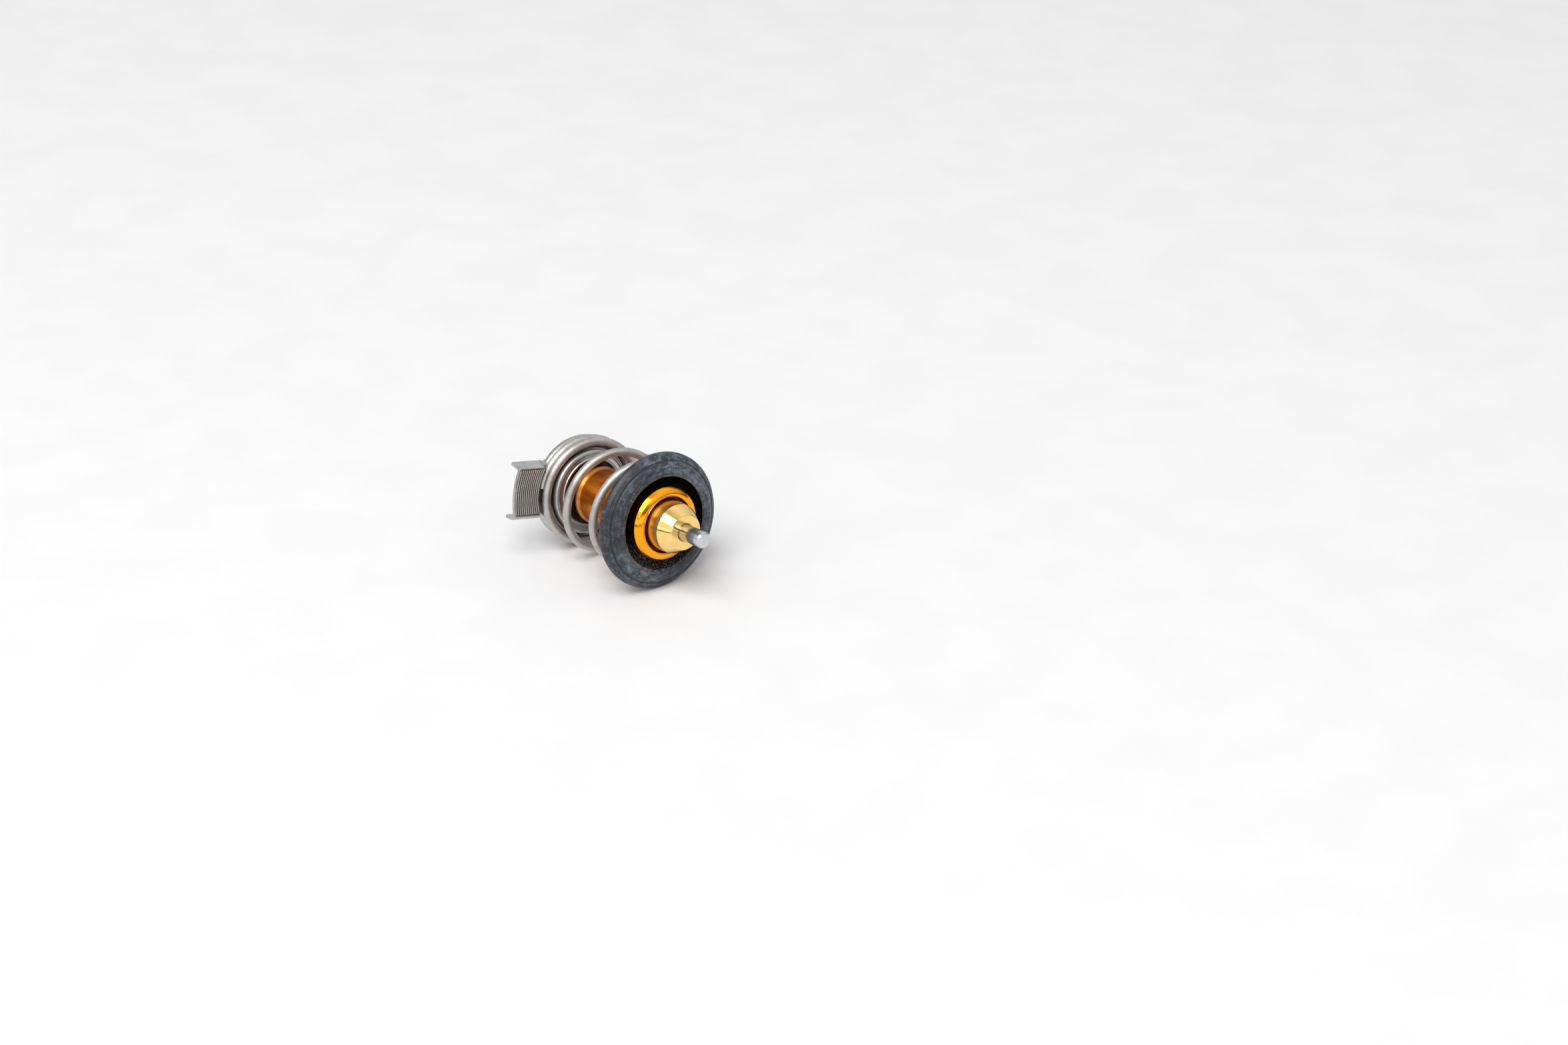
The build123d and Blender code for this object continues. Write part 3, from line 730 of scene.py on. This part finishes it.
coil = Rule("CoilSpring", {
    "Radius": (number, springSize["radius"]),
    "Wire Radius": (number, springSize["wire"]),
    "Rear": (number, springSize["rear"]),
    "Front": (number, springSize["front"]),
    "Turns": (number, springSize["turns"]),
    "Closed Turns": (number, springSize["closed"]),
    "Ramp": (number, springSize["ramp"]),
    "Closed Pitch": (number, closedPitch),
    "Open Pitch": (number, openPitch),
    "Start Angle": (number, springSize["start"]),
    "Points": ("NodeSocketInt", 300),
    "Material": ("NodeSocketMaterial", springSteel),
})
given = coil.start
line = coil.add("GeometryNodeMeshLine", {"Count": given["Points"]})
index = coil.add("GeometryNodeInputIndex").outputs[0]
share = coil.math("DIVIDE", index, coil.math("SUBTRACT", given["Points"], 1.0))
turn = coil.math("MULTIPLY", share, given["Turns"])
fromEnd = coil.math("MINIMUM", turn, coil.math("SUBTRACT", given["Turns"], turn))
closedPart = coil.math("MINIMUM", fromEnd, given["Closed Turns"])
beyond = coil.math("MAXIMUM", coil.math("SUBTRACT", fromEnd, given["Closed Turns"]), 0.0)
eased = coil.math("MINIMUM", beyond, given["Ramp"])
steeper = coil.math("SUBTRACT", given["Open Pitch"], given["Closed Pitch"])
easedSquare = coil.math("DIVIDE", coil.math("MULTIPLY", eased, eased), coil.math("MULTIPLY", given["Ramp"], 2.0))
rise = coil.math("MULTIPLY", coil.math("ADD", closedPart, eased), given["Closed Pitch"])
rise = coil.math("ADD", rise, coil.math("MULTIPLY", steeper, easedSquare))
rise = coil.math("ADD", rise, coil.math("MULTIPLY", coil.math("SUBTRACT", beyond, eased), given["Open Pitch"]))
rearHalf = coil.math("LESS_THAN", share, 0.5)
fromRear = coil.math("MULTIPLY", rearHalf, coil.math("ADD", given["Rear"], rise))
frontHalf = coil.math("SUBTRACT", 1.0, rearHalf)
fromFront = coil.math("MULTIPLY", frontHalf, coil.math("SUBTRACT", given["Front"], rise))
height = coil.math("ADD", fromRear, fromFront)
angle = coil.math("SUBTRACT", given["Start Angle"], coil.math("MULTIPLY", turn, 2 * pi))
place = coil.add("ShaderNodeCombineXYZ", {
    "X": coil.math("MULTIPLY", given["Radius"], coil.math("COSINE", angle)),
    "Y": coil.math("MULTIPLY", given["Radius"], coil.math("SINE", angle)),
    "Z": height,
})
wound = coil.add("GeometryNodeSetPosition", {"Geometry": line.outputs[0], "Position": place.outputs[0]})
path = coil.add("GeometryNodeMeshToCurve", {"Mesh": wound.outputs[0]})
wire = coil.add("GeometryNodeCurvePrimitiveCircle", {"Resolution": 24, "Radius": given["Wire Radius"]})
tube = coil.add("GeometryNodeCurveToMesh", {"Curve": path.outputs[0], "Profile Curve": wire.outputs[0],
                                            "Fill Caps": True})
coil.finish(tube.outputs[0])
coilSpring = coil.make("coilSpring", springSteel)
print("stage: spring", len(coilSpring.data.polygons))

ribSize = {"count": 12, "pitch": 0.4825, "outer": 17.37, "leading": -4.8, "trailing": 4.35,
           "size": 0.12, "face": -24.01}
ribs = Rule("ArmRibs", {
    "Count": ("NodeSocketInt", ribSize["count"]),
    "Pitch": (number, ribSize["pitch"]),
    "Outer Radius": (number, ribSize["outer"]),
    "Leading End": (number, ribSize["leading"]),
    "Trailing End": (number, ribSize["trailing"]),
    "Rib Size": (number, ribSize["size"]),
    "Face": (number, ribSize["face"]),
    "Material": ("NodeSocketMaterial", pressedSteel),
})
given = ribs.start
firstEnd = ribs.add("ShaderNodeCombineXYZ", {"Y": given["Leading End"]})
lastEnd = ribs.add("ShaderNodeCombineXYZ", {"Y": given["Trailing End"]})
straight = ribs.add("GeometryNodeCurvePrimitiveLine", {"Start": firstEnd.outputs[0], "End": lastEnd.outputs[0]})
apart = ribs.add("ShaderNodeCombineXYZ", {"X": ribs.math("MULTIPLY", given["Pitch"], -1.0)})
outermost = ribs.add("ShaderNodeCombineXYZ", {"X": given["Outer Radius"], "Z": given["Face"]})
row = ribs.add("GeometryNodeMeshLine", {"Count": given["Count"], "Start Location": outermost.outputs[0],
                                        "Offset": apart.outputs[0]})
many = ribs.add("GeometryNodeInstanceOnPoints", {"Points": row.outputs[0], "Instance": straight.outputs[0]})
loose = ribs.add("GeometryNodeRealizeInstances", {"Geometry": many.outputs[0]})
fine = ribs.add("GeometryNodeResampleCurve", {"Curve": loose.outputs[0], "Count": 24})
spot = ribs.add("GeometryNodeInputPosition").outputs[0]
parts = ribs.add("ShaderNodeSeparateXYZ", {0: spot}).outputs
squares = ribs.math("SUBTRACT", ribs.math("MULTIPLY", parts["X"], parts["X"]),
                    ribs.math("MULTIPLY", parts["Y"], parts["Y"]))
curvedPlace = ribs.add("ShaderNodeCombineXYZ", {"X": ribs.math("SQRT", squares), "Y": parts["Y"], "Z": parts["Z"]})
curved = ribs.add("GeometryNodeSetPosition", {"Geometry": fine.outputs[0], "Position": curvedPlace.outputs[0]})
ridge = ribs.add("GeometryNodeCurvePrimitiveCircle", {"Resolution": 8, "Radius": given["Rib Size"]})
ridges = ribs.add("GeometryNodeCurveToMesh", {"Curve": curved.outputs[0], "Profile Curve": ridge.outputs[0],
                                              "Fill Caps": True})
half = ribs.add("GeometryNodeTransform", {"Geometry": ridges.outputs[0], "Rotation": (0, 0, pi)})
both = ribs.add("GeometryNodeJoinGeometry")
ribs.links.new(ridges.outputs[0], both.inputs[0])
ribs.links.new(half.outputs[0], both.inputs[0])
ribs.finish(both.outputs[0])
armRibs = ribs.make("armRibs", pressedSteel)
print("stage: ribs", len(armRibs.data.polygons))


# What each piece moves with and stands for

for piece, body, node in (
    (pinShaft, "piston", "piston"),
    (guideBody, "capsule", "piston_guide"),
    (capsuleCup, "capsule", "wax_cup"),
    (valveFace, "capsule", "valve_seal"),
    (valvePlate, "capsule", "valve_plate"),
    (keeperWasher, "capsule", "retaining_washer"),
    (armedFrame, "frame", "frame"),
    (armRibs, "frame", "frame"),
):
    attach(piece, body)
    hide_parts(node)
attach(coilSpring, "frame")
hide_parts("main_spring")
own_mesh(coilSpring)
for node, material in (("guide_washer", sealPlastic), ("rubber_boot", bootRubber), ("wax_charge", waxTone)):
    nodeObjects[node].data.materials.clear()
    nodeObjects[node].data.materials.append(material)


# Floor, light and camera

floorSize = {"half": 6.0, "height": -0.01398}
half, height = floorSize["half"], floorSize["height"]
floorMesh = bpy.data.meshes.new("studioFloor")
floorMesh.from_pydata([(-half, -half, height), (half, -half, height), (half, half, height), (-half, half, height)],
                      [], [(0, 1, 2, 3)])
floorPaper = bpy.data.materials.new("floorPaper")
floorPaper.use_nodes = True
paperTree = Tree(floorPaper.node_tree)
paper = floorPaper.node_tree.nodes["Principled BSDF"]
paperPlace = paperTree.add("ShaderNodeTexCoord").outputs["Object"]
paperNoise = paperTree.noise(paperPlace, 60.0, 3.0, 0.5)
paperTree.feed(paper.inputs["Base Color"], paperTree.mix(
    paperTree.span(paperNoise.outputs["Fac"], 0.4, 0.6), (0.86, 0.86, 0.865), (0.88, 0.88, 0.88)))
paper.inputs["Roughness"].default_value = 0.9
paper.inputs["Specular IOR Level"].default_value = 0.1
studioFloor = addObject("studioFloor", floorMesh, floorPaper)


def areaLight(name, place, target, size, power, color=(1, 1, 1)):
    data = bpy.data.lights.new(name, "AREA")
    data.shape = "RECTANGLE"
    data.size, data.size_y = size
    data.energy = power
    data.color = color
    lamp = bpy.data.objects.new(name, data)
    lamp.location = place
    lamp.rotation_euler = (Vector(target) - Vector(place)).to_track_quat("-Z", "Y").to_euler()
    bpy.context.collection.objects.link(lamp)
    return lamp


areaLight("keySoftbox", (0.5, -0.85, 1.6), (0, 0, 0), (1.3, 1.1), 27.5)
areaLight("sideSoftbox", (0.15, -0.6, 0.35), (0, 0, 0), (0.5, 0.2), 0.3)

# What shiny surfaces see: in front of the insert two bright bands between dark ones, behind it a pale wall
world = bpy.data.worlds.new("lightTent")
bpy.context.scene.world = world
world.use_nodes = True
sky = Tree(world.node_tree)
background = world.node_tree.nodes["Background"]
direction = sky.add("ShaderNodeTexCoord").outputs["Generated"]
rays = sky.add("ShaderNodeLightPath").outputs
aim = sky.add("ShaderNodeSeparateXYZ", {0: direction}).outputs
wobble = sky.noise(direction, 1.4, 2.0, 0.5).outputs["Fac"]
level = sky.math("ADD", aim["Z"], sky.math("MULTIPLY", sky.math("SUBTRACT", wobble, 0.5), 0.16))
inFront = sky.ramp(level, [
    (0.0, (0.03, 0.025, 0.02)), (0.07, (0.03, 0.025, 0.02)), (0.12, (0.75, 0.75, 0.75)), (0.3, (0.75, 0.75, 0.75)),
    (0.38, (0.09, 0.08, 0.07)), (0.6, (0.08, 0.07, 0.06)), (0.68, (0.9, 0.9, 0.9)), (0.82, (0.9, 0.9, 0.9)),
    (0.9, (0.22, 0.21, 0.2)), (1.0, (0.25, 0.24, 0.23))])
behind = sky.ramp(aim["Z"], [(0.0, (0.05, 0.045, 0.04)), (0.12, (0.1, 0.09, 0.085)), (0.35, (0.33, 0.33, 0.34)),
                             (0.8, (0.5, 0.5, 0.5))])
aside = sky.ramp(level, [(0.0, (0.05, 0.045, 0.04)), (0.08, (0.4, 0.4, 0.4)), (0.55, (0.42, 0.42, 0.42)),
                         (0.62, (0.08, 0.07, 0.06)), (0.7, (0.08, 0.07, 0.06)), (0.8, (0.35, 0.35, 0.35))])
reflected = sky.mix(sky.span(aim["Y"], -0.25, 0.35), inFront, behind)
reflected = sky.mix(sky.span(aim["X"], -0.25, -0.45), reflected, aside)
stronger = sky.add("ShaderNodeVectorMath", {0: reflected, 1: (2.2, 2.2, 2.2)}, operation="MULTIPLY").outputs[0]
seen = sky.mix(rays["Is Camera Ray"], (0.56, 0.56, 0.565), (1.0, 1.0, 1.0))
sky.feed(background.inputs["Color"], sky.mix(rays["Is Glossy Ray"], seen, stronger))
background.inputs["Strength"].default_value = 0.9

cameraSize = {"place": (0.5173, -0.3911, 0.3452), "aim": (-0.0036, 0.0353, -0.0139), "lens": 85.0}
cameraData = bpy.data.cameras.new("photoCamera")
cameraData.lens = cameraSize["lens"]
cameraData.sensor_width = 36.0
cameraData.clip_start = 0.01
camera = bpy.data.objects.new("photoCamera", cameraData)
camera.location = cameraSize["place"]
look = Vector(cameraSize["aim"]) - Vector(cameraSize["place"])
camera.rotation_euler = look.to_track_quat("-Z", "Y").to_euler()
bpy.context.collection.objects.link(camera)

scene = bpy.context.scene
scene.camera = camera
scene.view_settings.view_transform = "Standard"
